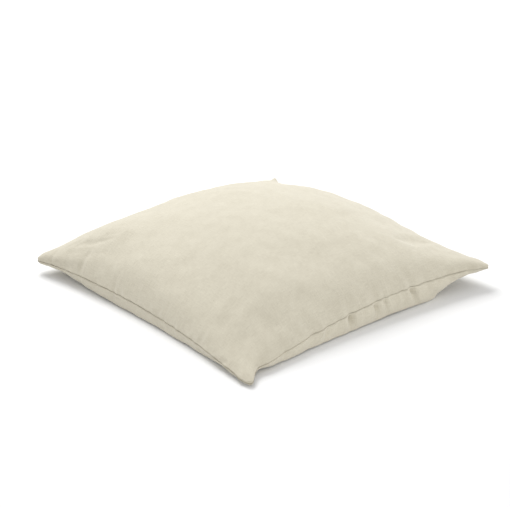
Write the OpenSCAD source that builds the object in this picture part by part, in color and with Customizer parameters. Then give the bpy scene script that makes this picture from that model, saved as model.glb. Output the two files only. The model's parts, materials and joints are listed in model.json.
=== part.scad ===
// Square knife-edge floor cushion: a linen cover with a concealed coil zip, and a feather pad inside it.
// Origin on the floor under the middle of the cushion, +Z up. The zip runs along the +Y side.

/* [Cushion] */
// Distance between two neighbouring corner tips of the filled cushion
corner_span = 670; // [480:10:860]
// How far the middle of each side pulls in from the line between its corners
side_pull = 18; // [12:1:32]
// Height of the crown above the floor
crown_h = 155; // [110:5:200]
// Roundness of the top: small is full to the seam, large is pointed
top_power = 0.75; // [0.7:0.01:0.85]
// Roundness of the flank between the seam and the floor
flank_power = 0.7; // [0.6:0.01:0.8]
// Share of the fullness at which the underside meets the floor
floor_share = 0.5; // [0.4:0.05:0.7]

/* [Seam height above the floor] */
// Seam along the whole zip side
zip_side_z = 40; // [34:1:50]
// Corner between the front and left sides
left_corner_z = 27; // [20:1:45]
// Corner between the front and right sides, which droops to the floor
near_corner_z = 6; // [4:1:30]
// Middle of the front side
front_side_z = 34; // [24:1:45]
// Middle of the right side
right_side_z = 42; // [30:1:55]
// Middle of the left side
left_side_z = 38; // [30:1:50]

/* [Cover] */
// Thickness of the linen
cover_t = 0.7; // [0.5:0.05:1]
// Diameter of the sewing thread
thread_d = 0.4; // [0.3:0.05:0.5]

/* [Inner pad] */
// Thickness of the downproof casing
casing_t = 0.4; // [0.3:0.05:0.6]
// Air between the cover and the pad at the crown and the underside
pad_gap = 1.5; // [1:0.1:3]
// Air between the zip tapes' inner edges and the pad's seam
pad_seam_gap = 2; // [1:0.5:5]
// Half the height of the filling's edge just inside the casing's seam
fill_edge = 0.8; // [0.5:0.1:1.5]
// Distance of the filling's edge from the casing's seam
fill_gap_edge = 12; // [10:0.5:16]
// Air between the filling and the casing
fill_gap = 2; // [1:0.1:3]

/* [Zip] */
// Length of the opening
zip_len = 450; // [300:10:500]
// Radius of one nylon coil
coil_r = 0.8; // [0.6:0.05:0.9]
// Half of the slot between the two coils, for the slider's neck
slot_half = 0.32; // [0.28:0.01:0.4]
// Thickness of a woven tape
tape_t = 0.35; // [0.25:0.05:0.45]
// Width of a tape from the slider inwards
tape_w = 7; // [5:0.5:9]
// Length of tape beyond each end of the opening
tape_tail = 8; // [6:1:12]
// Length of an end stop
stop_len = 3; // [2:0.5:4]

/* [Slider and pull] */
// Length of the slider's body
slider_len = 9; // [7:0.5:12]
// Wall of the slider's body
slider_t = 0.6; // [0.5:0.05:0.8]
// Length of the neck along the zip
neck_len = 4; // [3:0.5:6]
// Radius of the pin that the pull turns on
pin_r = 0.6; // [0.5:0.05:0.7]
// Wall of the bridge around the pin
bridge_t = 1; // [0.8:0.1:1.4]
// Distance of the bridge's floor outside the seam
bridge_y = 1; // [0.8:0.1:1.5]
// Width of the bridge across the zip
bridge_w = 1.4; // [1.2:0.1:1.8]
// Length of the pull from its pin to its tip
pull_len = 24; // [16:1:32]
// Radius of the pull's round end
pull_r = 3; // [2.5:0.1:4]
// Thickness of the pull
pull_t = 1; // [0.8:0.1:1.2]

/* [Labels] */
// Width of a label along its seam
label_w = 30; // [20:1:40]
// Thickness of one ply of a folded label
label_t = 0.2; // [0.15:0.05:0.25]

/* [Hidden] */

cells = 20;           // squares along each side of a panel's surface
opening_share = 0.12; // how far in from its edge a layer's two sides have opened out
thread_sides = 8;
thread_step = 4.5;    // degrees round the cushion between two rings of a thread
corner_power = 60;    // how closely a sewn line and an opening layer follow the corners
arc_fn = 256;
round_fn = 48;
eps = 0.01;
air = 0.2;            // running clearance between the slider and what it passes
fold_stretch = 1.35;  // a sloping layer's thickness, measured upright

half = corner_span / 2;
// Radius of the arc that each side follows, and the place of the zip side's arc centre
side_r = (pow(half, 2) + pow(side_pull, 2)) / (2 * side_pull);
arc_y = half - side_pull + side_r;

// ---- Form of the cushion, for u and v from -1 to 1 across it ----

// Half width of a layer that lies inset inside the cover, where t runs from -1 to 1 along the side
function half_width(t, inset) =
    let (h = half - inset, r = (pow(h, 2) + pow(side_pull, 2)) / (2 * side_pull))
    h - side_pull + r - sqrt(pow(r, 2) - pow(h * t, 2));

// Height of the seam, blended inwards from the four sides
function corners_z(u, v) =
    (left_corner_z * (1 - u) * (1 - v) + near_corner_z * (1 + u) * (1 - v)
        + zip_side_z * (1 + u) * (1 + v) + zip_side_z * (1 - u) * (1 + v)) / 4;
function seam_z(u, v) =
    corners_z(u, v)
    + (front_side_z - corners_z(0, -1)) * (1 - u * u) * (1 - v) / 2
    + (right_side_z - corners_z(1, 0)) * (1 - v * v) * (1 + u) / 2
    + (left_side_z - corners_z(-1, 0)) * (1 - v * v) * (1 - u) / 2;

// 0 on the seam and 1 in the middle
function fullness(u, v) = max(0, (1 - u * u) * (1 - v * v));
crown_rise = crown_h - seam_z(0, 0);
function cover_top_z(u, v) = seam_z(u, v) + crown_rise * pow(fullness(u, v), top_power);
function cover_under_z(u, v) =
    seam_z(u, v) * (1 - pow(sin(90 * min(1, fullness(u, v) / floor_share)), flank_power));

// Where a place x, y lies on the cover, as [u, v]. Each turn narrows the guess about tenfold.
function on_cover(x, y, u, v, turns = 3) =
    turns == 0 ? [u, v] : on_cover(x, y, x / half_width(v, 0), y / half_width(u, 0), turns - 1);

// A point of a layer inside the cover. side is 1 above and -1 below, inset is how far its edge lies
// inside the cover's, thin is its distance from the cover's outer face, which narrows in the corners,
// and lift is half the height of its edge where there is room for it.
function layer_point(u, v, side, inset, thin, lift) =
    let (x = u * half_width(v, inset), y = v * half_width(u, inset),
         c = on_cover(x, y, u, v),
         top_z = cover_top_z(c[0], c[1]), under_z = cover_under_z(c[0], c[1]),
         half_gap = (top_z - under_z) / 2 - cover_t,
         room = pow(half_gap, 2) / (half_gap + thin - cover_t),
         rim = max(0, min(lift, room / 3)))
    [x, y, (top_z + under_z) / 2 + side * (rim + opening(u, v) * (room - rim))];
// 0 on a layer's edge and 1 once its two sides have opened out
function opening(u, v) =
    let (from_edge = 1 - pow(pow(abs(u), corner_power) + pow(abs(v), corner_power), 1 / corner_power))
    sin(90 * max(0, min(1, from_edge / opening_share)));

// Rows stand closer together towards the seam, where the fabric curves most
function row(i) = sin(90 * (2 * i / cells - 1));

// ---- Zip section: inset is measured inwards from the seam, z up from it ----

zip_half = zip_len / 2;
tape_half = zip_half + tape_tail;
slider_half_h = slot_half + 2 * coil_r + air + slider_t;
tape_knee_z = slider_half_h + air;
wedge_z = tape_knee_z + (tape_t + cover_t) * fold_stretch + 2 * air;
// Inset at which the cover has opened to that height beside the end of a tape
end_room = 1 - pow(tape_half / half, 2);
knee_inset = max(inset_of(pow(wedge_z / crown_rise, 1 / top_power)),
                 inset_of(floor_share / 90 * asin(pow(wedge_z / zip_side_z, 1 / flank_power))));
function inset_of(f) = (half - side_pull) * (1 - sqrt(1 - f / end_room)) + cover_t;
coil_inset = knee_inset + 2 * air;
coil_z = slot_half + coil_r;
fold_inset = knee_inset - 2.4;
tape_end_inset = knee_inset + tape_w;
rim_gap = slot_half + 0.13;
pad_inset = tape_end_inset + pad_seam_gap;

// Angle round the arc centre for a distance along the zip side
function zip_angle(x) = x / side_r * 180 / PI;
slider_stop_x = zip_half - slider_len / 2 - 0.5;

// ---- Shared modules ----

function grid_index(i, j) = i * (cells + 1) + j;
function rim_path() = concat(
    [for (i = [0 : cells - 1]) grid_index(i, 0)],
    [for (j = [0 : cells - 1]) grid_index(cells, j)],
    [for (i = [cells : -1 : 1]) grid_index(i, cells)],
    [for (j = [cells : -1 : 1]) grid_index(0, j)]);

// Closed solid between an upper and a lower grid of points
module between(upper, lower) {
    count = (cells + 1) * (cells + 1);
    rim = rim_path();
    polyhedron(
        points = concat(upper, lower),
        faces = [
            for (i = [0 : cells - 1], j = [0 : cells - 1])
                let (a = grid_index(i, j), b = grid_index(i + 1, j),
                     c = grid_index(i + 1, j + 1), d = grid_index(i, j + 1))
                each [[a, c, b], [a, d, c], [count + a, count + b, count + c], [count + a, count + c, count + d]],
            for (k = [0 : len(rim) - 1])
                let (a = rim[k], b = rim[(k + 1) % len(rim)])
                each [[a, b, count + b], [a, count + b, count + a]],
        ],
        convexity = 4);
}

// A face of the cover: inset and thin are both 0 outside, and the linen's thickness inside
function cover_grid(side, inset) = [
    for (i = [0 : cells], j = [0 : cells])
        let (u = row(i), v = row(j), z = side > 0 ? cover_top_z(u, v) : cover_under_z(u, v),
             lift = j == cells ? zip_lift[i] : 0, thinning = min(inset, abs(z - seam_z(u, v))))
        [u * half_width(v, inset), v * half_width(u, inset), z + side * (lift - thinning)]];
function layer_grid(side, inset, thin, lift) = [
    for (i = [0 : cells], j = [0 : cells])
        layer_point(row(i), row(j), side, inset, thin, lift)];
// The cover's rims part along the zip, up to the first row past each end of the tapes
zip_lift = [
    for (i = [0 : cells])
        let (towards_middle = row(i + (i < cells / 2 ? 1 : -1)))
        abs(towards_middle) * half < tape_half && i > 0 && i < cells ? rim_gap : 0];

// Round thread along points, with flat ends
module thread_along(points, d) {
    last = len(points) - 1;
    rings = [
        for (k = [0 : last])
            let (ahead = points[min(k + 1, last)] - points[max(k - 1, 0)],
                 side = [ahead[1], -ahead[0], 0] / norm([ahead[0], ahead[1]]))
            for (s = [0 : thread_sides - 1])
                points[k] + d / 2 * (cos(360 * s / thread_sides) * side
                    + sin(360 * s / thread_sides) * [0, 0, 1])];
    polyhedron(
        points = rings,
        faces = [
            [for (s = [0 : thread_sides - 1]) thread_sides - 1 - s],
            for (k = [0 : last - 1], s = [0 : thread_sides - 1])
                let (a = k * thread_sides + s, b = k * thread_sides + (s + 1) % thread_sides)
                each [[a, b, b + thread_sides], [a, b + thread_sides, a + thread_sides]],
            [for (s = [0 : thread_sides - 1]) last * thread_sides + s],
        ],
        convexity = 10);
}

// Sewn line just inside a layer's seam, from angle a0 to a1 round the cushion
function sewn_line(inset, above, a0, a1) =
    let (steps = ceil((a1 - a0) / thread_step))
    [
        for (k = [0 : steps])
            let (a = a0 + (a1 - a0) * k / steps,
                 reach = pow(pow(abs(cos(a)), corner_power) + pow(abs(sin(a)), corner_power), -1 / corner_power),
                 u = reach * cos(a), v = reach * sin(a))
            layer_point(u, v, 1, inset, 0, 0) + [0, 0, above]];

// A section, drawn as [inset, z], carried along the zip side from x0 to x1
module along_zip(x0, x1) {
    translate([0, arc_y, zip_side_z])
        rotate([0, 0, zip_angle(x0) - 90])
            rotate_extrude(angle = zip_angle(x1 - x0), $fn = arc_fn)
                translate([side_r, 0])
                    children();
}

// Children stand on the seam at x, with +X along the zip and +Y out of the cushion
module on_zip(x) {
    translate([0, arc_y, zip_side_z])
        rotate([0, 0, zip_angle(x)])
            translate([0, -side_r, 0])
                children();
}

// Block on the zip from inset a to b and from height z0 to z1, centred on its length
module zip_block(length, a, b, z0, z1) {
    translate([-length / 2, -b, z0])
        cube([length, b - a, z1 - z0]);
}

// Both of a pair, above and below the seam's plane
module above_and_below() {
    children();
    mirror([0, 0, 1])
        children();
}

// Two plies joined by a fold at their far end, lying in the seam's plane and reaching along +Y
module folded_label(reach) {
    ply_gap = 2 * label_t;
    translate([-label_w / 2, 0, -ply_gap / 2 - label_t])
        difference() {
            cube([label_w, reach, ply_gap + 2 * label_t]);
            translate([-1, -label_t, label_t])
                cube([label_w + 2, reach, ply_gap]);
        }
}

// ---- Cover ----

module cover_top_panel() {
    color("wheat")
        between(cover_grid(1, 0), cover_grid(1, cover_t));
}

module cover_bottom_panel() {
    color("wheat")
        between(cover_grid(-1, cover_t), cover_grid(-1, 0));
}

module cover_seam_thread() {
    end_angle = atan((tape_half + 2 * stop_len) / half);
    color("antiquewhite")
        thread_along(sewn_line(cover_t + thread_d + air, thread_d / 2 + air / 2, 90 + end_angle, 450 - end_angle),
                     thread_d);
}

module care_label() {
    at_v = 0.35;
    start = cover_t + 2 * thread_d + 2 * air;
    color("white")
        translate([-half_width(at_v, start), at_v * half, seam_z(-1, at_v)])
            rotate([0, 0, -90])
                folded_label(pad_inset - start - pad_seam_gap);
}

// ---- Zip ----

module tape_section() {
    polygon([
        [fold_inset, slot_half + 0.05],
        [knee_inset, tape_knee_z],
        [tape_end_inset, tape_knee_z + 0.5],
        [tape_end_inset, tape_knee_z + 0.5 + tape_t],
        [knee_inset - tape_t / 2, tape_knee_z + tape_t],
        [fold_inset - tape_t / 2, slot_half + 0.05 + tape_t],
    ]);
}

module zip_tape_upper() {
    color("beige")
        along_zip(-tape_half, tape_half)
            tape_section();
}

module zip_tape_lower() {
    color("beige")
        along_zip(-tape_half, tape_half)
            mirror([0, 1])
                tape_section();
}

module coil(side) {
    color("ivory")
        along_zip(-zip_half, zip_half)
            translate([coil_inset, side * coil_z])
                circle(r = coil_r, $fn = round_fn);
}

module zip_coil_upper() {
    coil(1);
}

module zip_coil_lower() {
    coil(-1);
}

module zip_sewing_thread() {
    along = knee_inset + tape_w / 2;
    color("antiquewhite")
        for (side = [-1, 1])
            along_zip(-tape_half + 1, tape_half - 1)
                translate([along, side * (tape_knee_z + 0.25 + tape_t + thread_d / 2 + eps)])
                    circle(d = thread_d, $fn = round_fn);
}

module zip_end_tacks() {
    color("antiquewhite")
        for (side = [-1, 1])
            on_zip(side * (zip_half + (stop_len + tape_tail) / 2))
                zip_block(tape_tail - stop_len - 1, fold_inset + 0.2, knee_inset + 1, -slot_half, slot_half);
}

module zip_top_stops() {
    color("ivory")
        on_zip(-zip_half - stop_len / 2 - air)
            above_and_below()
                zip_block(stop_len, coil_inset - coil_r, coil_inset + coil_r, slot_half, slot_half + 2 * coil_r);
}

module zip_bottom_stop() {
    color("ivory")
        on_zip(zip_half + stop_len / 2 + air)
            zip_block(stop_len, coil_inset - coil_r, coil_inset + coil_r, -slot_half - 2 * coil_r, slot_half + 2 * coil_r);
}

// The pin stands clear of the seam, inside the bridge's eye
neck_half = slot_half - 0.1;
eye_r = pin_r + 2 * air;
pin_y = bridge_y + bridge_t / 2 + eye_r;

module zip_slider() {
    back = coil_inset + coil_r + air;
    color("silver")
        on_zip(-slider_stop_x) {
            zip_block(slider_len, back, back + slider_t, -slider_half_h, slider_half_h);
            above_and_below()
                zip_block(slider_len, knee_inset + air, back + eps, slider_half_h - slider_t, slider_half_h);
            zip_block(neck_len, -bridge_y - bridge_t / 4, back + eps, -neck_half, neck_half);
            translate([0, pin_y, -bridge_w / 2])
                difference() {
                    union() {
                        cylinder(r = eye_r + bridge_t, h = bridge_w, $fn = round_fn);
                        translate([-neck_len / 2, bridge_y - pin_y, 0])
                            cube([neck_len, pin_y - bridge_y, bridge_w]);
                    }
                    translate([0, 0, -1])
                        cylinder(r = eye_r, h = bridge_w + 2, $fn = round_fn);
                }
        }
}

module zip_pull() {
    cheek_z = bridge_w / 2 + air;
    cheek_t = 0.6;
    cheek_r = pin_r + 0.25;
    cheek_len = eye_r + bridge_t + 2 * air;
    tab_x = cheek_len + pull_r / 2;
    color("silver")
        on_zip(-slider_stop_x)
            translate([0, pin_y, 0])
                rotate([0, 0, 180]) {
                    translate([0, 0, -cheek_z - cheek_t])
                        cylinder(r = pin_r, h = 2 * (cheek_z + cheek_t), $fn = round_fn);
                    above_and_below()
                        translate([0, 0, cheek_z]) {
                            cylinder(r = cheek_r, h = cheek_t, $fn = round_fn);
                            translate([0, -pull_t / 2, 0])
                                cube([cheek_len + 1, pull_t, cheek_t]);
                        }
                    translate([cheek_len, pull_t / 2, 0])
                        rotate([90, 0, 0])
                            linear_extrude(pull_t)
                                tab_outline(pull_len - cheek_len - pull_r, cheek_z + cheek_t);
                }
}

// Teardrop from a straight root of half width root_half to a round end of radius pull_r, with an eyelet
module tab_outline(reach, root_half) {
    lean = asin((pull_r - root_half) / reach);
    difference() {
        union() {
            translate([reach, 0])
                circle(r = pull_r, $fn = round_fn);
            polygon([
                [0, -root_half],
                [reach - pull_r * sin(lean), -pull_r * cos(lean)],
                [reach - pull_r * sin(lean), pull_r * cos(lean)],
                [0, root_half],
            ]);
        }
        translate([reach, 0])
            circle(r = pull_r / 2, $fn = round_fn);
    }
}

// ---- Inner pad ----

pad_thin = cover_t + pad_gap;

module pad_casing_top() {
    color("white")
        between(layer_grid(1, pad_inset, pad_thin, 0),
                layer_grid(1, pad_inset + casing_t, pad_thin + casing_t, 0));
}

module pad_casing_bottom() {
    color("white")
        between(layer_grid(-1, pad_inset + casing_t, pad_thin + casing_t, 0),
                layer_grid(-1, pad_inset, pad_thin, 0));
}

module pad_seam_thread() {
    color("white")
        thread_along(sewn_line(pad_inset + casing_t + thread_d + air, thread_d / 2 + air / 2, 91, 449), thread_d);
}

module pad_label() {
    at_u = 0.4;
    color("white")
        translate([at_u * half, -half_width(at_u, pad_inset - air), seam_z(at_u, -1)])
            rotate([0, 0, 180])
                folded_label(pad_inset - cover_t - 4 * thread_d - 2);
}

module pad_fill() {
    fill_inset = pad_inset + casing_t + fill_gap_edge;
    fill_thin = pad_thin + casing_t + fill_gap;
    color("whitesmoke")
        between(layer_grid(1, fill_inset, fill_thin, fill_edge), layer_grid(-1, fill_inset, fill_thin, fill_edge));
}

cover_top_panel();
cover_bottom_panel();
cover_seam_thread();
care_label();
zip_tape_upper();
zip_tape_lower();
zip_coil_upper();
zip_coil_lower();
zip_sewing_thread();
zip_end_tacks();
zip_top_stops();
zip_bottom_stop();
zip_slider();
zip_pull();
pad_casing_top();
pad_casing_bottom();
pad_seam_thread();
pad_label();
pad_fill();
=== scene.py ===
"""A square knife-edge linen floor cushion, with its concealed zip and its feather pad.

Metres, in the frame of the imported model: +Z up, the floor at 0, the zip along the +Y side.
A place on a panel is u, v, from -1 to 1 across the cushion along X and Y.
"""

import json
import math

import bmesh
import bpy
import numpy as np
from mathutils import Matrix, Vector


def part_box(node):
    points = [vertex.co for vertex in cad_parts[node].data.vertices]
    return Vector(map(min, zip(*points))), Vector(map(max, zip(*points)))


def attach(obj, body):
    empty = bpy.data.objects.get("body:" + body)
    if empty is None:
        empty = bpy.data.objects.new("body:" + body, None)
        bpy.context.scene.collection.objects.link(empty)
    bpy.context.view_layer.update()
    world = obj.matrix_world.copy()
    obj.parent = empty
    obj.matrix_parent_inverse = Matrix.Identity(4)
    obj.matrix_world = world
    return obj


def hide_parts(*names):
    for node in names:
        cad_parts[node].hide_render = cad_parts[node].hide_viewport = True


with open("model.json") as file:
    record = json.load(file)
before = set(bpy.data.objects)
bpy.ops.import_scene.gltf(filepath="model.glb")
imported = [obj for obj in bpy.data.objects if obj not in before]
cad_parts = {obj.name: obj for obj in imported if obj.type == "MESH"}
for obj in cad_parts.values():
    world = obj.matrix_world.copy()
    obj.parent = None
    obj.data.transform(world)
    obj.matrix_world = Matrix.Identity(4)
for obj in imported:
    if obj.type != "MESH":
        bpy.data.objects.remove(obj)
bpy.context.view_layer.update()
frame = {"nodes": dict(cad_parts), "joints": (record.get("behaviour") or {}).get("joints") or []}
MM = 0.001

# ---- Sizes, from the frame where it has them ----

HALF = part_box("cover_top_panel")[1].x            # from the middle to a corner tip, along X
SLIDER_JOINT = next(j for j in frame["joints"] if j["name"] == "slider_travel")
ARC_CENTRE_Y, ZIP_Z = SLIDER_JOINT["pos_m"][1:]  # the zip side is an arc about this far point
ZIP_ARC = math.hypot(HALF, ARC_CENTRE_Y - HALF)
ZIP_PULL_IN = HALF - (ARC_CENTRE_Y - ZIP_ARC)    # how far the zip side draws in at its middle

ZIP_HALF = 0.225        # half the zip's length
SLOT = 0.45 * MM        # half the gap between the panels' edges along it

CUT = 0.350             # half the cover's finished flat side
LINEN = 0.7 * MM
CROWN_RISE = 0.1045     # from the level of the seams to the crown
CROWN_FLATNESS = 2.1    # large is flat in the middle and round near the sides
# How full the top is beside each side: small is full to the seam, large slopes down to it
FULL_LEFT, FULL_RIGHT = 0.46, 0.72
FULL_FRONT, FULL_BACK = 0.60, 0.43
# How much cloth the steep part beside each side's seam takes up
STEEP_LEFT, STEEP_RIGHT = 0.14, 0.04
STEEP_FRONT, STEEP_BACK = 0.08, 0.16
# Where the filling is uneven: what a patch near each corner adds to the crown's rise, or takes off
LEFT_PLUMP, NEAR_PLUMP = 0.040, 0.018
RIGHT_SLACK, BACK_SLACK = 0.052, 0.040
BELLY_DROP = 0.095      # how far the underside would hang if there were no floor
BELLY_TAPER = 1.85      # how fast that dies out towards the corners
NEAR_FLAT = 0.11        # how far the flat, empty ear of the near corner reaches
CURVED_CLOTH = 1.1      # cloth in the underside's curve, for each length of its straight chord
# Share of the half width in which the underside comes down to the floor
TUCK_LEFT, TUCK_RIGHT = 0.12, 0.06
TUCK_FRONT, TUCK_BACK = 0.26, 0.10
FLOOR_GAP = 2 * MM

# Seam heights: two corners, and the middles of the sides
LEFT_CORNER_Z, NEAR_CORNER_Z = 0.026, 0.006
FRONT_Z, RIGHT_Z, LEFT_Z = 0.025, 0.041, 0.038
BACK_DROP = 0.010       # the back corner sags, and its tip turns up
BACK_TIP_LIFT = 0.013
# How far each side draws in at its middle
RIGHT_PULL_IN, LEFT_PULL_IN, FRONT_PULL_IN = 0.026, 0.014, 0.024
TIP_OUT = 6 * MM        # how far each corner's ear stands out beyond the arcs of the sides
TIP_ROUND = 7.5 * MM    # what the rounding takes off its tip
NEAR_ROUND = 14 * MM    # and off the near corner's
TIP_REACH = 45 * MM     # how far from its tip an ear stands out
EAR_HALF = 5.5 * MM     # half the thickness of an ear, where the seam allowances fill it
EAR_REACH = 60 * MM     # how far from its tip that lasts
EAR_TURN = 9 * MM       # how far in from the seam it is reached
NEAR_TONGUE = 20 * MM   # the near corner's ear lies out flat along X, beyond a pinched neck
NEAR_NECK = 7 * MM


# ---- Form of the cushion ----

def side_arc(along, pull_in, half=HALF):
    """Half width at a place along a side: a circular arc through both corners, pull_in deep."""
    radius = (half ** 2 + pull_in ** 2) / (2 * pull_in)
    return half - pull_in + radius - np.sqrt(radius ** 2 - (half * along) ** 2)


def bump(u, v, at_u, at_v, spread):
    """A round Gaussian swelling around one place."""
    return np.exp(-((u - at_u) ** 2 + (v - at_v) ** 2) / spread ** 2)


def seam_height(u, v):
    """Height of the seam's own surface: the corners blended evenly, plus a parabola from each side.
    The right side's leans away from the near corner, which lies flat, and the back corner sags."""
    corners = (LEFT_CORNER_Z * (1 - u) * (1 - v) + NEAR_CORNER_Z * (1 + u) * (1 - v)
               + ZIP_Z * (1 + u) * (1 + v) + ZIP_Z * (1 - u) * (1 + v)) / 4
    front = FRONT_Z - (LEFT_CORNER_Z + NEAR_CORNER_Z) / 2
    right = (RIGHT_Z - (NEAR_CORNER_Z + ZIP_Z) / 2) * (1 + 0.5 * v)
    left = LEFT_Z - (LEFT_CORNER_Z + ZIP_Z) / 2
    return (corners + front * (1 - u ** 2) * (1 - v) / 2
            + right * (1 - v ** 2) * (1 + u) / 2 + left * (1 - v ** 2) * (1 - u) / 2
            + BACK_TIP_LIFT * bump(u, v, -1, 1, 0.05) - BACK_DROP * bump(u, v, -1, 1, 0.18))


def side_share(u, v, left, right, front, back):
    """A value of its own at each side, blended by how near each side is: the weights are high
    powers of u and v, so each holds along its own side and mixes only at the corners."""
    near = [(1 + side * w) ** 6 for w, side in ((u, -1), (u, 1), (v, -1), (v, 1))]
    return sum(n * value for n, value in zip(near, (left, right, front, back))) / sum(near)


def plan_of(u, v):
    """Where u, v lies in plan: between the arcs of the sides, with an ear at each corner, rounded at
    its tip, and the near corner's tongue."""
    from_tip = (2 - abs(u) - abs(v)) * HALF
    rounding = TIP_ROUND + (NEAR_ROUND - TIP_ROUND) * bump(u, v, 1, -1, 0.3)
    tip = rounding * np.exp(-from_tip / (1.35 * rounding)) - TIP_OUT * np.exp(-(from_tip / TIP_REACH) ** 2)
    near = NEAR_TONGUE * bump(u, v, 1, -1, 0.10) - NEAR_NECK * bump(u, v, 1, -0.86, 0.06)
    half_x = np.where(u > 0, side_arc(v, RIGHT_PULL_IN), side_arc(v, LEFT_PULL_IN))
    half_y = np.where(v > 0, side_arc(u, ZIP_PULL_IN), side_arc(u, FRONT_PULL_IN))
    return u * half_x - np.sign(u) * tip + near, v * half_y - np.sign(v) * tip


def ear_half(u, v):
    """Half the thickness that the seam allowances give the ears: a quarter circle in from the seam,
    dying out away from the tips."""
    from_tip = (2 - abs(u) - abs(v)) * HALF
    from_seam = np.minimum(1, (1 - np.maximum(abs(u), abs(v))) * HALF / EAR_TURN)
    return EAR_HALF * np.exp(-(from_tip / EAR_REACH) ** 2) * np.sqrt(1 - (1 - from_seam) ** 2)


def at_inset(u, v, inset):
    """The place in plan of u, v: moved along its line from the middle to that inset, 1 in the middle."""
    outwards_share = (1 - inset) / np.maximum(np.maximum(abs(u), abs(v)), 1e-9)
    return u * outwards_share, v * outwards_share


def plumped(u, v):
    """The filled cushion's top and underside at u, v, which go at an even pace along the cloth. The
    top is the seam's surface plus the product of (1 - a power of u) and (1 - a power of v), each to
    its own side's fullness, and as it is steep near the seam, s of cloth reaches s squared / (s + a
    share) inwards. The underside falls from the seam round a quarter ellipse, as far as the floor.
    Its depth dies out towards the corners."""
    inwards = 1 - np.maximum(abs(u), abs(v))
    towards_corner = np.minimum(abs(u), abs(v)) ** 2

    steep = side_share(u, v, STEEP_LEFT, STEEP_RIGHT, STEEP_FRONT, STEEP_BACK) * (1 - towards_corner) + 1e-9
    top_u, top_v = at_inset(u, v, (1 + steep) * inwards ** 2 / (inwards + steep))
    across = (1 - abs(top_u) ** CROWN_FLATNESS) ** np.where(top_u > 0, FULL_RIGHT, FULL_LEFT)
    along = (1 - abs(top_v) ** CROWN_FLATNESS) ** np.where(top_v > 0, FULL_BACK, FULL_FRONT)
    uneven = (LEFT_PLUMP * bump(top_u, top_v, -0.80, -0.80, 0.25)
              + NEAR_PLUMP * bump(top_u, top_v, 0.70, -0.58, 0.22)
              - RIGHT_SLACK * bump(top_u, top_v, 0.72, 0.72, 0.28)
              - BACK_SLACK * bump(top_u, top_v, -0.80, 0.80, 0.33))
    flat_ear = 1 - bump(top_u, top_v, 1, -1, NEAR_FLAT)
    top = (seam_height(top_u, top_v) + ear_half(top_u, top_v)
           + flat_ear * across * along * (CROWN_RISE + uneven))

    tuck = side_share(u, v, TUCK_LEFT, TUCK_RIGHT, TUCK_FRONT, TUCK_BACK)
    depth = (1 - bump(u, v, 1, -1, NEAR_FLAT)) * BELLY_DROP * (1 - towards_corner) ** BELLY_TAPER + 1e-9
    drop = np.clip(seam_height(u, v) - FLOOR_GAP, 0, depth)
    turn = np.arcsin(drop / depth)               # of the quarter ellipse, where it meets the floor
    width = tuck * (1 - np.cos(turn))
    cloth = CURVED_CLOTH * np.hypot(width * HALF, drop) / CUT + 1e-9
    turned = turn * np.minimum(1, inwards / cloth)
    on_floor = width + (1 - width) * (inwards - cloth) / (1 - cloth)
    under_u, under_v = at_inset(u, v, np.where(inwards < cloth, tuck * (1 - np.cos(turned)), on_floor))
    under = seam_height(under_u, under_v) - ear_half(under_u, under_v) - depth * np.sin(turned)
    return (np.stack([*plan_of(top_u, top_v), top], -1),
            np.stack([*plan_of(under_u, under_v), np.maximum(under, FLOOR_GAP)], -1))


# ---- Cloth: the sewn cover settles round its filling ----

SIM_CELLS = 80
SIM_FRAMES = 30
SIM_GRADE = 0.4 * math.pi   # the cloth's cells get smaller towards the seams


def graded(t):
    """Spreads even steps from -1 to 1 so that they are closer together near both ends."""
    return np.sin(SIM_GRADE * t) / math.sin(SIM_GRADE)


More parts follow.
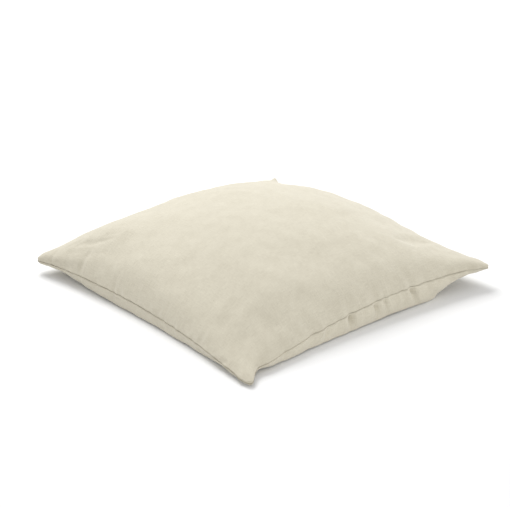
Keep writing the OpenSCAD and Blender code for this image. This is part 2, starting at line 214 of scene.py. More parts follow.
def settled_cover(steps):
    """The sewn cover, blown up around its filling by Blender's cloth. It starts filled, its rest shape
    is two flat squares that share their edges, and it is held a little to where it started. Returns
    the top and the underside as grids of points, at the rows and columns in steps."""
    u, v = np.meshgrid(*[graded(np.linspace(-1, 1, SIM_CELLS + 1))] * 2, indexing="ij")
    top, under = plumped(u, v)
    count = u.size
    edge = np.maximum(abs(u), abs(v)) > 1 - 1e-9
    top_index = np.arange(count).reshape(u.shape)
    under_index = np.where(edge, top_index, 0)
    under_index[~edge] = count + np.arange((~edge).sum())
    points = np.concatenate([top.reshape(-1, 3), under[~edge]])
    flat = np.stack([u * CUT, v * CUT, 0 * u], -1)
    flat = np.concatenate([flat.reshape(-1, 3), flat[~edge]])
    faces = np.concatenate([cells_of(top_index), cells_of(under_index)[:, ::-1]])
    cloth = object_from("cover_cloth", points, faces)
    cloth.shape_key_add(name="filled")
    cut_shape = cloth.shape_key_add(name="cut")
    cut_shape.data.foreach_set("co", flat.astype(np.float32).ravel())
    cut_shape.value = 0

    # how firmly each point is held to the filled shape: the top hardly, the underside more, as it lies
    # on the floor, and the zip side and the corners most, by their tapes and seam allowances
    from_seam = np.minimum(1 - abs(u), 1 - abs(v))
    held = np.where(from_seam < 0.12, 0.0, 0.02)
    held_under = np.where(from_seam < 0.04, 0.02, 0.3)
    held[edge] = 0.05
    held[v > 1 - 1e-9] = 0.95
    held[(abs(u) > 0.97) & (abs(v) > 0.97)] = 0.9
    weights = np.concatenate([held.ravel(), held_under[~edge]])
    group = cloth.vertex_groups.new(name="held")
    for weight in np.unique(weights):
        group.add(np.flatnonzero(weights == weight).tolist(), float(weight), "REPLACE")

    floor = flat_floor("sim_floor", 1)
    floor.modifiers.new("Collision", "COLLISION")
    floor.collision.thickness_outer = MM
    modifier = cloth.modifiers.new("Cloth", "CLOTH")
    fabric = modifier.settings
    fabric.vertex_group_mass = "held"
    fabric.rest_shape_key = cut_shape
    fabric.quality = 6
    fabric.mass = 0.3
    fabric.tension_stiffness = fabric.compression_stiffness = 80
    fabric.shear_stiffness = 20
    fabric.bending_stiffness = 0.05
    fabric.use_pressure = True
    fabric.uniform_pressure_force = 2
    fabric.effector_weights.gravity = 0
    modifier.collision_settings.distance_min = 2 * MM
    modifier.point_cache.frame_end = SIM_FRAMES
    for step in range(1, SIM_FRAMES + 1):
        bpy.context.scene.frame_set(step)
    settled = cloth.evaluated_get(bpy.context.evaluated_depsgraph_get()).data
    co = np.zeros(points.size, np.float32)
    settled.vertices.foreach_get("co", co)
    co = co.reshape(-1, 3).astype(float)
    for used in (cloth, floor):
        bpy.data.objects.remove(used)
    bpy.context.scene.frame_set(1)
    even = np.arcsin(steps * math.sin(SIM_GRADE)) / SIM_GRADE      # undoes graded
    return resampled(co[top_index], even, even), resampled(co[under_index], even, even)


# ---- Meshes from grids of points ----

def cells_of(index):
    """The four corners of every cell of a grid of indices, as rows."""
    return np.stack([index[:-1, :-1], index[1:, :-1], index[1:, 1:], index[:-1, 1:]], -1).reshape(-1, 4)


def object_from(name, points, faces, uv=None):
    """A smooth-shaded mesh object, from arrays, or a list of faces. uv has one row for each point."""
    mesh = bpy.data.meshes.new(name)
    mesh.from_pydata(points.tolist(), [], faces if isinstance(faces, list) else faces.tolist())
    mesh.shade_smooth()
    if uv is not None:
        corners = np.zeros(len(mesh.loops), np.int32)
        mesh.loops.foreach_get("vertex_index", corners)
        mesh.uv_layers.new(name="Cut").data.foreach_set("uv", uv[corners].astype(np.float32).ravel())
    made = bpy.data.objects.new(name, mesh)
    bpy.context.scene.collection.objects.link(made)
    return made


def flat_floor(name, reach):
    """A level square at the height of the floor."""
    corners = np.array([[-1.0, -1.0, 0.0], [1.0, -1.0, 0.0], [1.0, 1.0, 0.0], [-1.0, 1.0, 0.0]])
    return object_from(name, corners * reach, np.array([[0, 1, 2, 3]]))


def cubic_weights(count, at):
    """Catmull-Rom weights of count evenly spaced values from -1 to 1, for each place in at."""
    place = (np.asarray(at) + 1) / 2 * (count - 1)
    cell = np.clip(np.floor(place).astype(int), 0, count - 2)
    t = place - cell
    kernel = [(-t + 2 * t ** 2 - t ** 3) / 2, (2 - 5 * t ** 2 + 3 * t ** 3) / 2,
              (t + 4 * t ** 2 - 3 * t ** 3) / 2, (-t ** 2 + t ** 3) / 2]
    weights = np.zeros((len(t), count))
    rows = np.arange(len(t))
    for offset, share in zip((-1, 0, 1, 2), kernel):
        # beyond the edge the grid goes on straight: value(-1) = 2 value(0) - value(1)
        column = cell + offset
        low, high = column < 0, column > count - 1
        inside = ~(low | high)
        np.add.at(weights, (rows[inside], column[inside]), share[inside])
        np.add.at(weights, (rows[low], 0), 2 * share[low])
        np.add.at(weights, (rows[low], 1), -share[low])
        np.add.at(weights, (rows[high], count - 1), 2 * share[high])
        np.add.at(weights, (rows[high], count - 2), -share[high])
    return weights


def resampled(grid, u, v):
    """A smooth grid of points at rows u and columns v of a coarser one."""
    rows, columns = cubic_weights(grid.shape[0], u), cubic_weights(grid.shape[1], v)
    return np.einsum("ia,abk,jb->ijk", rows, grid, columns)


def normals_of(grid):
    """Unit normals of a grid, up where u and v run as X and Y do."""
    across = np.cross(np.gradient(grid, axis=0), np.gradient(grid, axis=1))
    return across / np.linalg.norm(across, axis=-1, keepdims=True)


def shell(name, upper, lower, uv):
    """A closed solid between two grids of the same shape, upper above lower."""
    rows, columns = upper.shape[:2]
    index = np.arange(rows * columns).reshape(rows, columns)
    rim = np.concatenate([index[:-1, 0], index[-1, :-1], index[:0:-1, -1], index[0, :0:-1]])
    after = np.roll(rim, -1)
    below = rows * columns
    walls = np.stack([rim, rim + below, after + below, after], -1)
    faces = np.concatenate([cells_of(index), cells_of(index)[:, ::-1] + below, walls])
    return object_from(name, np.concatenate([upper.reshape(-1, 3), lower.reshape(-1, 3)]), faces,
                       np.concatenate([uv.reshape(-1, 2)] * 2))


# ---- The cover's panels ----

LIP = 5 * MM            # width of the rolled edge beside the seam
LIP_ROWS = 6
LIP_SWELL = 0.8 * MM    # how far it stands out
GROOVE = 1.8 * MM       # how deep the seam lies between the rolled edges
FIELD_CELLS = 190
EDGEWAYS = 12 * MM      # how near the seam folds push outwards, not along the surface's normal
UNDER_Z = 0.4 * MM      # the lowest face of the underside

# Gathers that cross the right seam: where along it, how wide, depth in millimetres, how far they reach
RIGHT_GATHERS = ((-0.10, 0.034, 4.5, 0.09), (0.10, 0.028, 3.2, 0.07), (0.17, 0.020, 2.2, 0.06),
                 (0.38, 0.028, 4.0, 0.08), (0.50, 0.030, 1.6, 0.08), (-0.42, 0.040, 2.5, 0.10),
                 (-0.64, 0.034, 2.2, 0.10), (0.66, 0.026, 1.2, 0.06))
# Tucks that go on from them down the band under the seam
RIGHT_TUCKS = ((-0.10, 0.024, 11.0, 0.14), (0.09, 0.016, 7.0, 0.14), (0.165, 0.014, 5.5, 0.14),
               (0.38, 0.020, 9.0, 0.14), (-0.30, 0.020, 3.5, 0.14), (0.27, 0.018, -3.0, 0.14))
FRONT_GATHERS = ((0.55, 0.020, 1.6, 0.10), (0.20, 0.016, 1.2, 0.09), (-0.28, 0.018, 1.4, 0.09),
                 (-0.60, 0.018, 2.2, 0.12), (-0.86, 0.014, 1.6, 0.08))
LEFT_GATHERS = ((-0.5, 0.018, 2.2, 0.12), (-0.12, 0.014, 1.6, 0.10), (0.35, 0.016, 2.4, 0.12),
                (0.70, 0.014, 1.8, 0.09))
# Soft hollows in the top: u, v, spread across X and Y, depth in millimetres
HOLLOWS = ((0.80, -0.80, 0.05, 0.10, 3.0), (0.84, -0.60, 0.05, 0.09, 2.6), (0.80, -0.36, 0.06, 0.08, 2.2),
           (0.62, -0.84, 0.10, 0.05, 1.6), (-0.80, -0.60, 0.07, 0.12, 2.0))


def panel_steps():
    """Places across a panel from -1 to 1, close together in the rolled edges."""
    lip = LIP / CUT
    edge = 1 - lip * np.linspace(0, 1, LIP_ROWS + 1)[:-1] ** 1.5
    field = np.linspace(-(1 - lip), 1 - lip, FIELD_CELLS + 1)
    return np.concatenate([-edge, field, edge[::-1]])


def gathers(along, inward, folds):
    """Relief of the folds that cross a seam. Each is a dent with a lower ridge on each side, which is
    (1 - 0.7 x squared) times the exponential of -x squared / 1.4. It dies out inwards, and is a
    quarter shallower at the seam itself."""
    relief = 0
    for at, width, depth, reach in folds:
        across = ((along - at) / width) ** 2
        dent = depth * MM * (1 - 0.7 * across) * np.exp(-across / 1.4)
        relief = relief - dent * np.exp(-(inward / reach) ** 2)
    return relief * (1 - 0.25 * np.exp(-(inward / 0.02) ** 2))


def waves(u, v, count, longest, shortest, random):
    """Smooth unevenness of about unit size: a sum of sine waves in random directions."""
    relief = 0
    for _ in range(count):
        turn, phase = random.uniform(0, 2 * math.pi, 2)
        length = math.exp(random.uniform(math.log(shortest), math.log(longest)))
        onwards = (u * math.cos(turn) + v * math.sin(turn)) * HALF
        relief = relief + np.sin(onwards * 2 * math.pi / length + phase)
    return relief / math.sqrt(count / 2)


def relief_of(u, v, side):
    """How far the linen stands out from its smooth form: gathers at the seams, hollows in the top,
    and the unevenness of the feathers inside."""
    inward = 1 - np.maximum(abs(u), abs(v))
    relief = (gathers(v, 1 - u, RIGHT_GATHERS) + gathers(u, 1 + v, FRONT_GATHERS)
              + gathers(v, 1 + u, LEFT_GATHERS))
    if side > 0:
        for at_u, at_v, wide, long, depth in HOLLOWS:
            relief = relief - depth * MM * np.exp(-((u - at_u) / wide) ** 2 - ((v - at_v) / long) ** 2)
    else:
        below_seam = 1 - np.exp(-((1 - u) / 0.015) ** 2)
        relief = relief + gathers(v, 1 - u, RIGHT_TUCKS) * below_seam
        relief = relief * np.exp(-(inward / 0.09) ** 2)     # the floor presses the rest flat
    random = np.random.default_rng(11)
    lumps = 1.1 * MM * waves(u, v, 14, 0.30, 0.12, random) * np.clip(inward / 0.25, 0, 1)
    ripples = 0.35 * MM * waves(u, v, 24, 0.09, 0.035, random)
    puckers = 0.5 * MM * waves(u, v, 24, 0.035, 0.014, random) * np.exp(-(inward / 0.05) ** 2)
    return relief + lumps + ripples + puckers


def panels():
    """Both cover panels, each a shell with rolled edges, and the seam line that joins them."""
    steps = panel_steps()
    u, v = np.meshgrid(steps, steps, indexing="ij")
    uv = np.stack([u * CUT, v * CUT], -1)
    from_seam = np.minimum(1 - abs(u), 1 - abs(v)) * CUT
    rolled = np.clip(1 - from_seam / LIP, 0, 1)
    # level and away from the nearest side, turning quickly at the corners
    outward = np.stack([np.sign(u) * abs(u) ** 40, np.sign(v) * abs(v) ** 40, 0 * u], -1)
    outward /= np.linalg.norm(outward, axis=-1, keepdims=True) + 1e-9
    made = []
    for grid, side in zip(settled_cover(steps), (1, -1)):
        normal = normals_of(grid) * side
        edgeways = np.exp(-(from_seam / EDGEWAYS) ** 2)[..., None]
        push = normal * (1 - edgeways) + outward * edgeways
        face = grid + push * relief_of(u, v, side)[..., None]
        roll = LIP_SWELL * np.sin(math.pi * rolled) ** 2 - GROOVE * rolled ** 4
        face = face + outward * roll[..., None]
        face[..., 2] = np.maximum(face[..., 2], LINEN if side > 0 else UNDER_Z)
        # the edges part along the zip, and close again within 6 mm at its ends
        by_zip = np.clip((ZIP_HALF + 4 * MM - abs(face[..., 0])) / (6 * MM), 0, 1) * (v > 0)
        face[..., 2] += side * SLOT * by_zip * np.exp(-(from_seam / LIP) ** 2)
        inner = face - normals_of(face) * side * LINEN
        made.append((face, inner))
    (top_out, top_in), (under_out, under_in) = made
    top_panel = shell("cover_top_panel_linen", top_out, top_in, uv)
    bottom_panel = shell("cover_bottom_panel_linen", under_in, under_out, uv)
    return top_panel, bottom_panel, top_in, under_in, rim_of(top_out)


# ---- Threads, tapes and the zip ----

COIL_LOW, COIL_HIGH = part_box("zip_coil_upper")
COIL_R = (COIL_HIGH.z - COIL_LOW.z) / 2
COIL_INSET = HALF - ZIP_PULL_IN - COIL_LOW.y - COIL_R
COIL_Z = (COIL_LOW.z + COIL_HIGH.z) / 2 - ZIP_Z
COIL_WIRE = 0.2 * MM
COIL_PITCH = 1.25 * MM
TAPE_LOW, TAPE_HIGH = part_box("zip_tape_upper")
TAPE_T = 0.35 * MM
TAPE_HALF = ZIP_HALF + 8 * MM
TAPE_END = HALF - ZIP_PULL_IN - TAPE_LOW.y       # inset of its inner edge
TAPE_KNEE = COIL_INSET - 0.4 * MM
TAPE_Z = TAPE_HIGH.z - ZIP_Z - TAPE_T


def beside_zip(x, inset, z):
    """Points at x along the zip, inset in from the seam's arc and z above it."""
    angle, reach = x / ZIP_ARC, ZIP_ARC + inset
    plan = reach * np.sin(angle), ARC_CENTRE_Y - reach * np.cos(angle)
    return np.stack(np.broadcast_arrays(*plan, ZIP_Z + z), -1)


def tube(name, path, radius, sides):
    """A round wire along a path: rings square to it, closed by a flat face at each end."""
    along = np.gradient(path, axis=0)
    along /= np.linalg.norm(along, axis=1, keepdims=True)
    across = np.cross(along, [1, 0, 0])
    across /= np.linalg.norm(across, axis=1, keepdims=True)
    third = np.cross(along, across)
    turn = np.linspace(0, 2 * math.pi, sides, endpoint=False)
    rings = path[:, None] + radius * (np.cos(turn)[None, :, None] * across[:, None]
                                      + np.sin(turn)[None, :, None] * third[:, None])
    index = np.arange(len(path) * sides).reshape(len(path), sides)
    looped = np.concatenate([index, index[:, :1]], 1)
    ends = [index[0, ::-1].tolist(), index[-1].tolist()]
    return object_from(name, rings.reshape(-1, 3), cells_of(looped)[:, ::-1].tolist() + ends)


def stitches(name, places, directions, length, radius, sides=6):
    """Short rounded lengths of thread, one at each place: rings that narrow towards both ends, with a
    point at each pole."""
    turn = np.linspace(0, 2 * math.pi, sides, endpoint=False)
    ring_at, ring_wide = np.array([[-0.42, -0.2, 0.2, 0.42], [0.75, 1.0, 1.0, 0.75]])[..., None]
    rings = np.broadcast_arrays(ring_at * length, ring_wide * radius * np.cos(turn),
                                ring_wide * radius * np.sin(turn))
    shape = np.concatenate([[[-length / 2, 0, 0], [length / 2, 0, 0]], np.stack(rings, -1).reshape(-1, 3)])
    along = directions / np.linalg.norm(directions, axis=1, keepdims=True)
    across = np.cross(along, [0.0, 0.0, 1.0])
    lengths = np.linalg.norm(across, axis=1, keepdims=True)
    across = np.where(lengths > 0.1, across / np.maximum(lengths, 1e-9), [1.0, 0.0, 0.0])
    third = np.cross(across, along)
    points = (places[:, None] + shape[None, :, :1] * along[:, None] + shape[None, :, 1:2] * across[:, None]
              + shape[None, :, 2:] * third[:, None])
    index = 2 + np.arange(len(ring_at) * sides).reshape(len(ring_at), sides)
    looped = np.concatenate([index, index[:, :1]], 1)
    first, last = looped[0], looped[-1]
    caps = np.concatenate([np.stack([0 * first[1:], first[1:], first[:-1]], -1),
                           np.stack([0 * last[1:] + 1, last[:-1], last[1:]], -1)])
    offset = (np.arange(len(places)) * len(shape))[:, None, None]
    faces = (cells_of(looped)[None] + offset).reshape(-1, 4).tolist()
    faces += (caps[None] + offset).reshape(-1, 3).tolist()
    made = object_from(name, points.reshape(-1, 3), faces)
    outwards(made)
    return made


def outwards(made):
    """Turns every face of a closed mesh outwards."""
    work = bmesh.new()
    work.from_mesh(made.data)
    bmesh.ops.recalc_face_normals(work, faces=work.faces)
    work.to_mesh(made.data)
    work.free()


def spaced(line, pitch):
    """Points every pitch along a line of points, and the line's direction at each."""
    lengths = np.concatenate([[0], np.cumsum(np.linalg.norm(np.diff(line, axis=0), axis=1))])
    at = np.arange(pitch / 2, lengths[-1], pitch)
    places = np.stack([np.interp(at, lengths, line[:, k]) for k in range(3)], -1)
    directions = np.stack([np.interp(at, lengths, np.gradient(line[:, k], lengths)) for k in range(3)], -1)
    return places, directions


def rim_of(grid):
    """The edge of a grid of points as a closed line, from its back left corner round to it again."""
    return np.concatenate([grid[0, ::-1], grid[1:, 0], grid[-1, 1:], grid[-2::-1, -1]])


def cover_stitches(rim):
    """The lockstitches in the groove of the perimeter seam, everywhere but along the zip."""
    places, directions = spaced(rim, 3.2 * MM)
    on_zip = (abs(places[:, 0]) < TAPE_HALF + 5 * MM) & (places[:, 1] > 0.9 * (HALF - ZIP_PULL_IN))
    return stitches("cover_seam_stitches", places[~on_zip], directions[~on_zip], 2.7 * MM, 0.22 * MM)


def zip_tape(name, side):
    """A woven tape on the arc: from the slot up to its knee behind the coil, then flat inwards."""
    section = np.array([[TAPE_KNEE - 2.3 * MM, 0.4 * MM], [TAPE_KNEE - 0.8 * MM, 1.6 * MM],
                        [TAPE_KNEE, TAPE_Z - 0.5 * MM], [TAPE_KNEE + 2 * MM, TAPE_Z - 0.25 * MM],
                        [TAPE_END, TAPE_Z]])
    t = np.linspace(0, 1, 15)
    known = np.linspace(0, 1, len(section))
    inset, z = np.interp(t, known, section[:, 0]), np.interp(t, known, section[:, 1])
    x = np.linspace(-TAPE_HALF, TAPE_HALF, 241)[:, None]
    low = beside_zip(x, inset[None], side * z[None])
    high = beside_zip(x, inset[None], side * (z[None] + TAPE_T))
    uv = np.stack(np.broadcast_arrays(x, inset[None]), -1)
    made = shell(name, high, low, uv)
    outwards(made)
    return made


def zip_coil(name, side):
    """A nylon coil: a helix round the arc, one turn every pitch."""
    turns = 2 * ZIP_HALF / COIL_PITCH
    t = np.linspace(0, turns, int(turns * 10) + 1)
    swing = COIL_R - COIL_WIRE
    inwards, up = swing * np.cos(2 * math.pi * t), swing * np.sin(2 * math.pi * t)
    path = beside_zip(t * COIL_PITCH - ZIP_HALF, COIL_INSET + inwards, side * (COIL_Z + up))
    made = tube(name, path, COIL_WIRE, 5)
    outwards(made)
    return made


def tape_stitches():
    """Two rows of stitches, one on each tape."""
    x = np.linspace(-TAPE_HALF + 1.5 * MM, TAPE_HALF - 1.5 * MM, 400)
    inset = (TAPE_KNEE + TAPE_END) / 2
    rows = [spaced(beside_zip(x, inset, side * (TAPE_Z + TAPE_T + 0.1 * MM)), 2.6 * MM) for side in (-1, 1)]
    return stitches("zip_tape_stitches", *[np.concatenate(part) for part in zip(*rows)], 2.1 * MM, 0.18 * MM)


def end_tack_stitches():
    """A bar tack across the slot at each end of the zip: a row of upright stitches."""
    low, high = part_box("zip_end_tacks")
    x = np.concatenate([np.linspace(low.x + 0.3 * MM, -ZIP_HALF - 3.8 * MM, 12),
                        np.linspace(ZIP_HALF + 3.8 * MM, high.x - 0.3 * MM, 12)])
    places = beside_zip(x, TAPE_KNEE - 0.9 * MM, 0.0)
    upright = np.tile([0.06, 0.0, 1.0], (len(places), 1))
    return stitches("zip_end_tack_stitches", places, upright, 1.7 * MM, 0.16 * MM)


def rounded(node, name, width):
    """A copy of a hard CAD part with its edges rounded."""
    mesh = frame["nodes"][node].data.copy()
    mesh.materials.clear()
    work = bmesh.new()
    work.from_mesh(mesh)
    bmesh.ops.remove_doubles(work, verts=work.verts, dist=0.002 * MM)
    bmesh.ops.dissolve_limit(work, angle_limit=math.radians(1), verts=work.verts, edges=work.edges)
    bmesh.ops.recalc_face_normals(work, faces=work.faces)
    work.to_mesh(mesh)
    work.free()
    made = bpy.data.objects.new(name, mesh)
    bpy.context.scene.collection.objects.link(made)
    bevel = made.modifiers.new("Bevel", "BEVEL")
    bevel.width, bevel.segments, bevel.limit_method = width, 2, "ANGLE"
    bevel.angle_limit = math.radians(35)
    bevel.use_clamp_overlap = True
    return made


LABEL_WAVE = 240        # radians to a metre, of the wave along a label's free edge


def folded_label(name, node, seam, towards):
    """A blank woven label, folded in two: a narrow loop in section, a little open and wavy. It is
    sewn in where the line of seam points passes its CAD node, and towards is the way that it
    reaches, a unit step along X or Y."""
    low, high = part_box(node)
    towards = np.array(towards, float)
    sideways = np.array([towards[1], -towards[0]])
    size = np.array(high - low)[:2]
    wide, reach = abs(size @ abs(sideways)), abs(size @ abs(towards))
    middle = np.array((low + high) / 2)
    root = seam[np.argmin(np.linalg.norm(seam[:, :2] - middle[:2], axis=1))]
    ply = 0.2 * MM
    gap = 0.2 * MM + ply / 2
    straight = np.linspace(0, reach - gap - ply / 2, 14)
    turn = np.linspace(-0.5, 0.5, 9) * math.pi
    out = np.concatenate([straight[:-1], straight[-1] + gap * np.cos(turn), straight[-2::-1]])
    up = np.concatenate([np.full(13, -gap), gap * np.sin(turn), np.full(13, gap)])
    up = up * (1 + np.sin(out / reach * math.pi))
    normal = np.stack([np.gradient(up), -np.gradient(out)], -1)
    normal /= np.linalg.norm(normal, axis=1, keepdims=True)
    w = np.linspace(-wide / 2, wide / 2, 25)[:, None]

    def ply_face(offset):
        plan = root[:2] + (out + offset * normal[:, 0])[None, :, None] * towards + w[..., None] * sideways
        wave = 0.2 * MM * np.sin(w * LABEL_WAVE) * (out / reach)[None]
        height = root[2] + (up + offset * normal[:, 1])[None] + wave
        return np.concatenate([plan, height[..., None]], -1)

    lengths = np.concatenate([[0], np.cumsum(np.hypot(np.diff(out), np.diff(up)))])
    uv = np.stack(np.broadcast_arrays(w, lengths[None]), -1)
    made = shell(name, ply_face(ply / 2), ply_face(-ply / 2), uv)
    outwards(made)
    return made


# ---- The feather pad ----

PAD_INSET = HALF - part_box("pad_casing_top")[1].x
PAD_GAP = 1.5 * MM      # between the cover and the pad's casing
CASING = 0.4 * MM
FILL_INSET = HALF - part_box("pad_fill")[1].x
FILL_GAP = 3 * MM


def layer(top_in, under_in, inset, gap):
    """Top and underside of a layer inside the cover. Its half height is h squared / (h + gap), where
    h is the cover's own, so that it closes at its edge, and it is drawn in all round by inset."""
    coarse = slice(None, None, 2)
    top_in, under_in = top_in[coarse, coarse], under_in[coarse, coarse]
    middle, half = (top_in + under_in) / 2, (top_in - under_in) / 2
    height = np.linalg.norm(half, axis=-1, keepdims=True)
    half = half * height / (height + gap)
    grids = [middle + half, middle - half]
    for grid in grids:
        grid[..., :2] *= 1 - inset / HALF
    return grids


def pad_pieces(top_in, under_in):
    """The pad's two casing panels, its stitched seam and its filling."""
    top, under = layer(top_in, under_in, PAD_INSET, PAD_GAP)
    steps = panel_steps()[::2]
    uv = np.stack(np.meshgrid(steps * CUT, steps * CUT, indexing="ij"), -1)
    casing_top = shell("pad_casing_top_cotton", top, top - normals_of(top) * CASING, uv)
    casing_bottom = shell("pad_casing_bottom_cotton", under + normals_of(under) * CASING, under, uv)
    places, directions = spaced(rim_of(top), 3 * MM)
    sewn = stitches("pad_seam_stitches", places, directions, 2.5 * MM, 0.2 * MM)
    fill_top, fill_under = layer(top_in, under_in, FILL_INSET, FILL_GAP)
    return casing_top, casing_bottom, sewn, shell("pad_fill_feathers", fill_top, fill_under, uv), rim_of(top)


# ---- Materials ----

class Wire:
    """A shader value, with arithmetic that adds Math nodes."""

    def __init__(self, graph, socket):
        self.graph, self.socket = graph, socket

    def maths(self, operation, *others):
        return self.graph.node("ShaderNodeMath", {"operation": operation}, [self, *others])

    def __add__(self, other):
        return self.maths("ADD", other)

    def __sub__(self, other):
        return self.maths("SUBTRACT", other)

    def __rsub__(self, other):
        return self.graph.node("ShaderNodeMath", {"operation": "SUBTRACT"}, [other, self])

    def __mul__(self, other):
        return self.maths("MULTIPLY", other)

    __radd__ = __add__
    __rmul__ = __mul__

    def sine(self):
        return self.maths("SINE")

    def absolute(self):
        return self.maths("ABSOLUTE")


class Material:
    """A node material under construction."""

    def __init__(self, name):
        self.made = bpy.data.materials.new(name)
        self.made.use_nodes = True
        self.tree = self.made.node_tree
        self.shader = self.tree.nodes["Principled BSDF"]

    def node(self, kind, settings=(), inputs=(), output=0):
        """Adds a node of that kind: its settings first, then its inputs by place or by name."""
        added = self.tree.nodes.new(kind)
        for key, value in dict(settings).items():
            setattr(added, key, value)
        named = inputs.items() if isinstance(inputs, dict) else enumerate(inputs)
        for key, value in named:
            self.feed(added.inputs[key], value)
        return Wire(self, added.outputs[output])

    def feed(self, socket, value):
        if isinstance(value, Wire):
            self.tree.links.new(value.socket, socket)
        else:
            socket.default_value = value

    def cut_place(self):
        """The place on the flat cloth, in metres, from the piece's own UV map."""
        return self.node("ShaderNodeUVMap", {"uv_map": "Cut"})

    def own_place(self):
        """The place in the piece's own frame, in metres."""
        return self.node("ShaderNodeTexCoord", {}, [], output="Object")

    def parts(self, place):
        """The first two coordinates of a place."""
        first = self.node("ShaderNodeSeparateXYZ", {}, [place])
        return first, Wire(self, first.socket.node.outputs[1])

    def stretched(self, place, scale, turn=0.0):
        """A place turned and scaled on its way into a texture."""
        return self.node("ShaderNodeMapping", {}, {"Vector": place, "Rotation": (0, 0, turn), "Scale": scale})

    def noise(self, place, scale, detail=2.0, roughness=0.5):
        return self.node("ShaderNodeTexNoise", {}, {"Vector": place, "Scale": scale, "Detail": detail,
                                                    "Roughness": roughness})

    def blend(self, share, dark, light):
        """From one colour to another as share goes from 0 to 1."""
        return self.node("ShaderNodeMix", {"data_type": "RGBA", "clamp_factor": True},
                         {0: share, 6: dark, 7: light}, output=2)

    def relief(self, height, depth, strength=1.0):
        return self.node("ShaderNodeBump", {}, {"Height": height, "Distance": depth, "Strength": strength})

    def finish(self, **inputs):
        """Feeds the shader's sockets, with _ for a space in their names."""
        for key, value in inputs.items():
            self.feed(self.shader.inputs[key.replace("_", " ")], value)
        return self.made


# painted shade: the seam's shadow is painted into the linen's colour as a dark band this wide
SEAM_SHADE_WIDTH = 1.0 * MM       # width of the linen that dips into a seam and lies in its shade


def threads(m, place, pitch):
    """The height of a plain weave, 0 to 1: two crossed sets of sine ridges that pass over and under."""
    across, along = m.parts(place)
    step = math.pi / pitch
    warp, weft = (across * step).sine(), (along * step).sine()
    over = (across * step * 0.5).sine() * (along * step * 0.5).sine()
    return (warp * warp * (0.5 + 0.5 * over) + weft * weft * (0.5 - 0.5 * over)) * 0.8


def linen_material():
    """Undyed plain-weave linen: warp and weft threads of uneven thickness, slubs along both ways,
    small dark flecks, a faint mottle, painted shade that darkens the corner tips a little, a line of
    painted shade along the seams, and the soft sheen of brushed flax."""
    m = Material("undyed_linen")
    place = m.cut_place()
    warp_slub = m.noise(m.stretched(place, (55, 900, 1)), 1.0, 3.0)
    weft_slub = m.noise(m.stretched(place, (900, 55, 1)), 1.0, 3.0)
    mottle = m.noise(place, 24.0, 4.0, 0.6)
    grain = m.noise(place, 420.0, 2.0, 0.6)
    weave = threads(m, place, 0.9 * MM)
    fleck = m.node("ShaderNodeMath", {"operation": "GREATER_THAN"}, [m.noise(place, 330.0, 0.0), 0.80])
    tone = (0.5 + (warp_slub - 0.5) * 0.9 + (weft_slub - 0.5) * 0.9 + (mottle - 0.5) * 0.5
            + (grain - 0.5) * 0.7)
    across, along = m.parts(place)
    # painted shade: the corner tips are darkened a little, standing in for the shade where the ears slope
    # away from the light
    corner_shade = (across * along).absolute() * (1 / CUT ** 2)
    corner_shade = corner_shade * corner_shade      # its square is 1 at the corner tips, and falls off steeply
    colour = m.blend(tone + (weave - 0.4) * 0.25 - fleck * 0.5 - corner_shade * corner_shade * 0.25,
                     (0.452, 0.412, 0.318, 1), (0.635, 0.598, 0.488, 1))
    # painted shade: the linen next to the seam edge is darkened, standing in for the shadow in the seam's
    # groove
    edge = across.absolute().maths("MAXIMUM", along.absolute())
    painted_seam_shade = ((edge - (CUT - SEAM_SHADE_WIDTH)) * (1 / SEAM_SHADE_WIDTH)).maths("MAXIMUM", 0.0)
    colour = m.blend(painted_seam_shade * 0.6, colour, (0.19, 0.165, 0.115, 1))
    height = weave * 0.6 + (warp_slub + weft_slub) * 0.5
    return m.finish(Base_Color=colour, Roughness=0.80 + 0.12 * mottle,
                    Normal=m.relief(height, 0.25 * MM, 0.7),
                    Sheen_Weight=0.25, Sheen_Roughness=0.6, Specular_IOR_Level=0.25)


def thread_material(name, dark, light):
    """Sewing thread: a fine slanting twist and an uneven tint."""
    m = Material(name)
    place = m.own_place()
    tint = m.noise(place, 260.0, 2.0)
    twist = m.noise(m.stretched(place, (3000, 3000, 9000), 0.6), 1.0, 1.0)
    return m.finish(Base_Color=m.blend(tint, dark, light), Roughness=0.55 + 0.25 * twist,
                    Normal=m.relief(twist, 0.05 * MM, 0.6), Sheen_Weight=0.2)


def woven_material(name, pitch, dark, light, mottle_scale, depth):
    """Closely woven cloth or tape: its weave, a faint tint along the threads, and a mottle."""
    m = Material(name)
    place = m.cut_place()
    weave = threads(m, place, pitch)
    streak = m.noise(m.stretched(place, (0.05 / pitch, 0.9 / pitch, 1)), 1.0, 2.0)
    mottle = m.noise(place, mottle_scale, 3.0)
    colour = m.blend(weave * 0.4 + streak * 0.4 + mottle * 0.3, dark, light)
    return m.finish(Base_Color=colour, Roughness=0.75 + 0.15 * mottle,
                    Normal=m.relief(weave + streak * 0.4, depth, 0.7), Sheen_Weight=0.15)


def nylon_material():
    """Ivory nylon of the coils and stops, slightly cloudy."""
    m = Material("ivory_nylon")
    cloud = m.noise(m.own_place(), 900.0, 2.0)
    return m.finish(Base_Color=m.blend(cloud, (0.62, 0.58, 0.48, 1), (0.74, 0.70, 0.60, 1)),
                    Roughness=0.28 + 0.2 * cloud, Normal=m.relief(cloud, 0.03 * MM, 0.5), Coat_Weight=0.15)


def nickel_material():
    """Brushed nickel plating with fine scratches and a dulled, slightly warm film."""
    m = Material("brushed_nickel")
    place = m.own_place()
    brushed = m.noise(m.stretched(place, (300, 9000, 9000)), 1.0, 3.0)
    film = m.noise(place, 350.0, 3.0)
    return m.finish(Base_Color=m.blend(film, (0.50, 0.48, 0.44, 1), (0.68, 0.66, 0.62, 1)), Metallic=1.0,
                    Roughness=0.22 + 0.22 * film + 0.1 * brushed, Normal=m.relief(brushed, 0.02 * MM, 0.4))


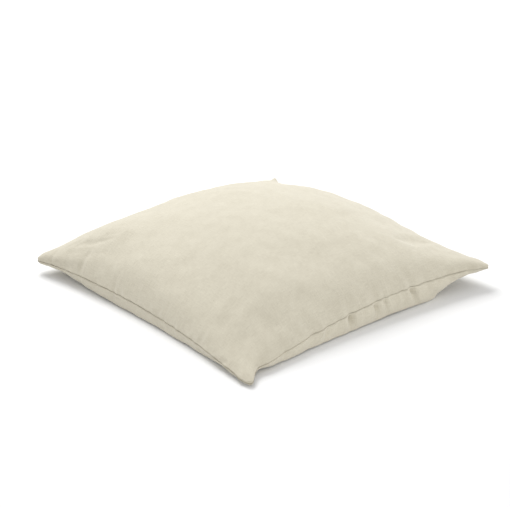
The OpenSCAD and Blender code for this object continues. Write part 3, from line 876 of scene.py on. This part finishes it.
def feather_material():
    """Massed small feathers: overlapping vanes, each with its own tint, and fine barbs."""
    m = Material("feathers")
    place = m.own_place()
    vanes = m.node("ShaderNodeTexVoronoi", {"feature": "F1"},
                   {"Vector": m.stretched(place, (60, 30, 60), 0.4), "Scale": 1.0})
    barbs = m.noise(m.stretched(place, (200, 2400, 200), 0.4), 1.0, 2.0)
    tint = m.noise(place, 45.0, 2.0)
    colour = m.blend(tint * 0.6 + barbs * 0.3 + (1 - vanes) * 0.2,
                     (0.58, 0.55, 0.50, 1), (0.86, 0.85, 0.82, 1))
    return m.finish(Base_Color=colour, Roughness=0.85 + 0.1 * barbs,
                    Normal=m.relief(barbs * 0.3 + (1 - vanes), 1.5 * MM, 0.8), Sheen_Weight=0.4)


def dress(piece, body, material, slot, *nodes):
    """Puts a piece on its body, with its material, in place of the CAD nodes that it stands for."""
    piece.data.materials.clear()
    piece.data.materials.append(material)
    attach(piece, body)
    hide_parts(*nodes)


# ---- Scene ----

CAMERA_AZIMUTH, CAMERA_ELEVATION = 49.2, 23.35
CAMERA_DISTANCE = 3.044
CAMERA_TARGET = Vector((-0.0067, -0.0100, 0.0567))
LENS = 103.3
FLOOR_REACH = 12


def make_camera():
    """A long lens, at the angles CAMERA_AZIMUTH and CAMERA_ELEVATION, towards the target."""
    azimuth, elevation = math.radians(CAMERA_AZIMUTH), math.radians(CAMERA_ELEVATION)
    back = Vector((math.sin(azimuth) * math.cos(elevation), -math.cos(azimuth) * math.cos(elevation),
                   math.sin(elevation)))
    camera = bpy.data.objects.new("camera", bpy.data.cameras.new("camera"))
    bpy.context.scene.collection.objects.link(camera)
    camera.location = CAMERA_TARGET + back * CAMERA_DISTANCE
    camera.rotation_euler = back.to_track_quat("Z", "Y").to_euler()
    camera.data.lens = LENS
    camera.data.sensor_width = 36
    bpy.context.scene.camera = camera


def area_light(name, place, size, power):
    """A square soft light that faces the cushion."""
    light = bpy.data.lights.new(name, "AREA")
    light.size, light.energy = size, power
    lamp = bpy.data.objects.new(name, light)
    lamp.location = place
    lamp.rotation_euler = Vector(place).to_track_quat("Z", "Y").to_euler()
    bpy.context.scene.collection.objects.link(lamp)


def make_studio():
    """A white floor, a large soft light above the far side, weak low ones at the right and in front,
    and a white surround."""
    floor = flat_floor("floor", FLOOR_REACH)
    paper = Material("white_paper").finish(Base_Color=(0.81, 0.81, 0.81, 1), Roughness=0.9)
    floor.data.materials.append(paper)
    area_light("sky_light", (-2.1, 0.6, 2.5), 2.0, 103)
    area_light("side_light", (2.3, 2.2, 0.55), 1.0, 26)
    area_light("front_light", (2.0, -1.75, 0.6), 1.2, 11)
    world = bpy.data.worlds.new("surround")
    world.use_nodes = True
    world.node_tree.nodes["Background"].inputs["Color"].default_value = (1, 1, 1, 1)
    world.node_tree.nodes["Background"].inputs["Strength"].default_value = 0.73
    bpy.context.scene.world = world
    bpy.context.scene.view_settings.view_transform = "Standard"


make_camera()
make_studio()
linen = linen_material()
linen_thread = thread_material("linen_thread", (0.50, 0.46, 0.36, 1), (0.66, 0.63, 0.52, 1))
white_thread = thread_material("white_thread", (0.70, 0.70, 0.68, 1), (0.84, 0.84, 0.82, 1))
zip_weave = woven_material("zip_tape_weave", 0.35 * MM, (0.46, 0.43, 0.34, 1), (0.64, 0.61, 0.52, 1),
                           200.0, 0.1 * MM)
label_weave = woven_material("label_weave", 0.25 * MM, (0.74, 0.73, 0.70, 1), (0.88, 0.87, 0.85, 1),
                             200.0, 0.05 * MM)
cotton = woven_material("downproof_cotton", 0.3 * MM, (0.70, 0.70, 0.68, 1), (0.86, 0.86, 0.84, 1),
                        18.0, 0.08 * MM)
nylon, nickel, feathers = nylon_material(), nickel_material(), feather_material()

top_panel, bottom_panel, top_inside, under_inside, seam_line = panels()
pad_top, pad_bottom, pad_stitches, pad_filling, pad_seam_line = pad_pieces(top_inside, under_inside)
dress(top_panel, "cushion", linen, "linen", "cover_top_panel")
dress(bottom_panel, "cushion", linen, "linen", "cover_bottom_panel")
dress(cover_stitches(seam_line), "cushion", linen_thread, "linen_thread", "cover_seam_thread")
care_label = folded_label("care_label_folded", "care_label", seam_line + [2 * MM, 0, 0], (1, 0))
dress(care_label, "cushion", label_weave, "label_tape", "care_label")
for side, place in ((1, "upper"), (-1, "lower")):
    dress(zip_tape(f"zip_tape_{place}_weave", side), "cushion", zip_weave, "zip_tape", f"zip_tape_{place}")
    dress(zip_coil(f"zip_coil_{place}_loops", side), "cushion", nylon, "zip_nylon", f"zip_coil_{place}")
dress(tape_stitches(), "cushion", linen_thread, "linen_thread", "zip_sewing_thread")
dress(end_tack_stitches(), "cushion", linen_thread, "linen_thread", "zip_end_tacks")
dress(rounded("zip_top_stops", "zip_top_stops_moulded", 0.15 * MM), "cushion", nylon, "zip_nylon",
      "zip_top_stops")
dress(rounded("zip_bottom_stop", "zip_bottom_stop_moulded", 0.15 * MM), "cushion", nylon, "zip_nylon",
      "zip_bottom_stop")
dress(rounded("zip_slider", "zip_slider_cast", 0.12 * MM), "slider", nickel, "zip_metal", "zip_slider")
dress(rounded("zip_pull", "zip_pull_cast", 0.15 * MM), "pull", nickel, "zip_metal", "zip_pull")
dress(pad_top, "cushion", cotton, "pad_cotton", "pad_casing_top")
dress(pad_bottom, "cushion", cotton, "pad_cotton", "pad_casing_bottom")
dress(pad_stitches, "cushion", white_thread, "pad_thread", "pad_seam_thread")
pad_label = folded_label("pad_label_folded", "pad_label", pad_seam_line, (0, -1))
dress(pad_label, "cushion", label_weave, "label_tape", "pad_label")
dress(pad_filling, "cushion", feathers, "feather", "pad_fill")
